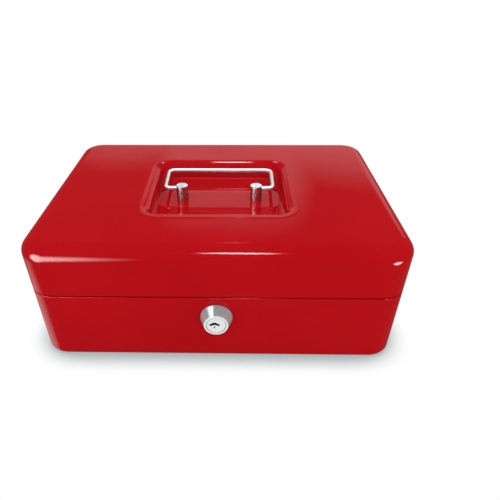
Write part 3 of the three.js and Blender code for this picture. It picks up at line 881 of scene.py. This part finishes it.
SHADOW_REACH = 25 * MM
SHADOW_LEAN = Vector((0, 0.45, 1))   # direction in which the floor's openness is judged
SHADOW_RANGE = (0.45, 0.92)          # openness at which the shadow is full, and at which it ends
SHADOW_TINT = (0.42, 0.45, 0.46, 1)


def stage_floor():
    """White paper that carries only a short, soft contact shadow for the camera."""
    size = 6.0
    corners = [(-size, -size, 0), (size, -size, 0), (size, size, 0), (-size, size, 0)]
    mesh = bpy.data.meshes.new("studio_floor")
    mesh.from_pydata(corners, [], [(0, 1, 2, 3)])
    floor = bpy.data.objects.new("studio_floor", mesh)
    scene.collection.objects.link(floor)
    floor.visible_glossy = False
    look = Recipe("floor_paper")
    look.set(Base_Color=(0.9, 0.9, 0.9, 1), Roughness=0.9, Specular_IOR_Level=0.0)
    tree = look.material.node_tree
    sums = Shading(tree)
    closeness = look.nodes.new("ShaderNodeAmbientOcclusion")
    closeness.inputs["Distance"].default_value = SHADOW_REACH
    closeness.inputs["Normal"].default_value = SHADOW_LEAN.normalized()
    closeness.samples = 16
    shade = look.nodes.new("ShaderNodeMix")
    shade.data_type = "RGBA"
    shade.inputs[6].default_value = SHADOW_TINT
    shade.inputs[7].default_value = (1, 1, 1, 1)
    look.links.new(sums.soft_step(closeness.outputs["AO"], *SHADOW_RANGE), shade.inputs[0])
    seen = look.nodes.new("ShaderNodeEmission")
    look.links.new(shade.outputs[2], seen.inputs["Color"])
    split = look.nodes.new("ShaderNodeMixShader")
    look.links.new(sums.ray_is("Camera"), split.inputs[0])
    look.links.new(look.shader.outputs[0], split.inputs[1])
    look.links.new(seen.outputs[0], split.inputs[2])
    look.links.new(split.outputs[0], look.nodes["Material Output"].inputs["Surface"])
    mesh.materials.append(look.material)


# What all gloss mirrors: side and height of each patch in degrees, half sizes, edge, corner power, glow.
BACKDROP = (
    (-9, 14, 12, 8.3, 0.35, 4, 0.68),     # backdrop behind the box
    (16, 14, 20, 9.5, 0.4, 4, 0.87),      # its lighter right part
    (26, 8, 7, 10, 0.3, 4, 0.32),         # where that runs down
    (0, 20, 9.2, 10.6, 0.3, 5, 0.75),     # its middle, which reaches higher
    (-80, -42, 22, 12, 0.4, 2, 1.2),      # pale ground at the left
)
MIRROR_LEVEL = 0.12
LEVEL_LIGHT = 0.94
TOP_LIGHT = 0.16

# Lamps kept to some looks: name, side, height, half width, half height, edge, glow, looks.
LAMPS = (
    ("strip", 178.7, 48.5, 4.8, 4.5, 0.3, 34, ("red_paint", "turned_chrome")),
    ("window", -138, -2, 23, 21, 0.4, 19, ("red_paint", "turned_chrome")),
    ("low_window", 135, -21, 16, 10, 0.15, 19, ("red_paint",)),
    ("side_card", -54, 40, 16, 28, 0.05, 12, ("lock_chrome",)),
    ("right_card", 62, 8, 8, 16, 0.4, 5, ("lock_chrome",)),
    ("top_card", 0, 85, 58, 58, 0.1, 1.8, ("chrome",)),
    ("head_card", 0, 32, 12, 10, 0.1, 1.5, ("turned_chrome",)),
    ("front_card", 180, -37, 34, 26, 0.2, 0.8, ("lock_chrome", "lock_satin")),
)
LAMP_DISTANCE = 10.0


def toward(side, height):
    """Direction whose side turns from +Y towards +X and whose height is above level, in degrees."""
    turn, rise = math.radians(side), math.radians(height)
    return Vector((math.sin(turn) * math.cos(rise), math.cos(turn) * math.cos(rise), math.sin(rise)))


def hang_lamp(data, place, aim):
    """Puts a lamp at a place, aimed along a direction. Only gloss shows it."""
    lamp = bpy.data.objects.new(data.name, data)
    scene.collection.objects.link(lamp)
    lamp.location = place
    lamp.rotation_mode = "QUATERNION"
    lamp.rotation_quaternion = aim.to_track_quat("-Z", "Y")
    lamp.visible_diffuse = False
    lamp.visible_camera = False
    return lamp


def soft_lamp(name, side, height, half_width, half_height, edge, glow, looks):
    """Far, soft-edged oval lamp that shows only in the gloss of the pieces with the given looks."""
    data = bpy.data.lights.new(name, "AREA")
    data.shape = "RECTANGLE"
    data.size = 2 * LAMP_DISTANCE * math.tan(math.radians(half_width)) * (1 + edge)
    data.size_y = 2 * LAMP_DISTANCE * math.tan(math.radians(half_height)) * (1 + edge)
    data.energy = glow * math.pi * data.size * data.size_y
    data.use_nodes = True
    sums = Shading(data.node_tree)
    spot = sums.nodes.new("ShaderNodeNewGeometry").outputs["Parametric"]
    offset = sums.nodes.new("ShaderNodeVectorMath")
    offset.operation = "DISTANCE"
    offset.inputs[1].default_value = (0.5, 0.5, 0)
    sums.links.new(spot, offset.inputs[0])
    half = 0.5 / (1 + edge)
    soft = sums.soft_step(offset.outputs["Value"], half * (1 + edge), half * (1 - edge))
    sums.links.new(soft, sums.nodes["Emission"].inputs["Strength"])
    outward = toward(side, height)
    lamp = hang_lamp(data, outward * LAMP_DISTANCE, -outward)
    receivers = bpy.data.collections.new(f"{name}_receivers")
    for look in looks:
        for piece in light_group(look).objects:
            receivers.objects.link(piece)
    lamp.light_linking.receiver_collection = receivers
    lamp.light_linking.blocker_collection = receivers


def rear_lamp():
    """Narrow beam from high behind onto the recess's back rim, for a line and two dots there."""
    target = Vector((5, 44, 89)) * MM
    distance = 1.5
    glow = 60
    half_beam = math.radians(4)
    data = bpy.data.lights.new("rear_lamp", "AREA")
    data.shape = "RECTANGLE"
    data.size, data.size_y = 0.16, 0.12
    data.spread = 2 * half_beam
    concentration = math.tan(half_beam) / (math.tan(half_beam) - half_beam)
    data.energy = glow * math.pi * data.size * data.size_y / concentration
    place = target + toward(0, 45) * distance
    aim = target + Vector((0, 66 * MM, 0)) - place     # behind the rim, so the beam fades in front of it
    lamp = hang_lamp(data, place, aim)
    lamp.light_linking.receiver_collection = light_group("red_paint")


def studio_world():
    """White for the camera, even and soft for matt surfaces, a pale backdrop on dark for gloss."""
    world = bpy.data.worlds.new("studio")
    world.use_nodes = True
    scene.world = world
    tree = world.node_tree
    sums = Shading(tree)
    direction = tree.nodes.new("ShaderNodeTexCoord").outputs["Generated"]
    mirrored = MIRROR_LEVEL
    for patch in BACKDROP:
        mirrored = sums.math("MAXIMUM", sums.soft_box(direction, *patch), mirrored)
    soft = sums.soft_step(sums.dot(direction, (0, 0, 1)), -0.2, 1, LEVEL_LIGHT, LEVEL_LIGHT + TOP_LIGHT)
    glossy = sums.ray_is("Glossy")
    unseen = sums.math(
        "ADD",
        sums.math("MULTIPLY", mirrored, glossy),
        sums.math("MULTIPLY", soft, sums.math("SUBTRACT", 1, glossy)),
    )
    camera = sums.ray_is("Camera")
    level = sums.math("ADD", sums.math("MULTIPLY", unseen, sums.math("SUBTRACT", 1, camera)), camera)
    tree.links.new(level, tree.nodes["Background"].inputs["Strength"])
    tree.nodes["Background"].inputs["Color"].default_value = (1, 1, 1, 1)


# The view was fitted to the box's own outline: eye position, downward tilt, turn and roll.
EYE = Vector((10.4, -312.5, 239.2)) * MM
TILT_DOWN = 0.647
TURN_LEFT = 0.025
ROLL = -0.008
FOCAL_SHARE = 0.8957                 # focal length over image width
AIM_SHIFT = (0.0534, 0.0526)


def photo_camera():
    data = bpy.data.cameras.new("photo_camera")
    camera = bpy.data.objects.new("photo_camera", data)
    scene.collection.objects.link(camera)
    data.sensor_width = 36
    data.lens = FOCAL_SHARE * data.sensor_width
    data.shift_x, data.shift_y = AIM_SHIFT
    data.clip_start, data.clip_end = 0.01, 50
    turn = Matrix.Rotation(TURN_LEFT, 4, "Z") @ Matrix.Rotation(math.pi / 2 - TILT_DOWN, 4, "X")
    camera.matrix_world = Matrix.Translation(EYE) @ turn @ Matrix.Rotation(ROLL, 4, "Z")
    scene.camera = camera


base_piece()
lid_piece()
handle_piece()
for side, sign in (("left", -1), ("right", 1)):
    post_piece(side, sign * POST_X)
lock_body_piece()
lock_plug_piece()
tray_piece()
dress_cad_nodes()

scene.view_settings.view_transform = "Standard"
stage_floor()
studio_world()
for lamp in LAMPS:
    soft_lamp(*lamp)
rear_lamp()
photo_camera()
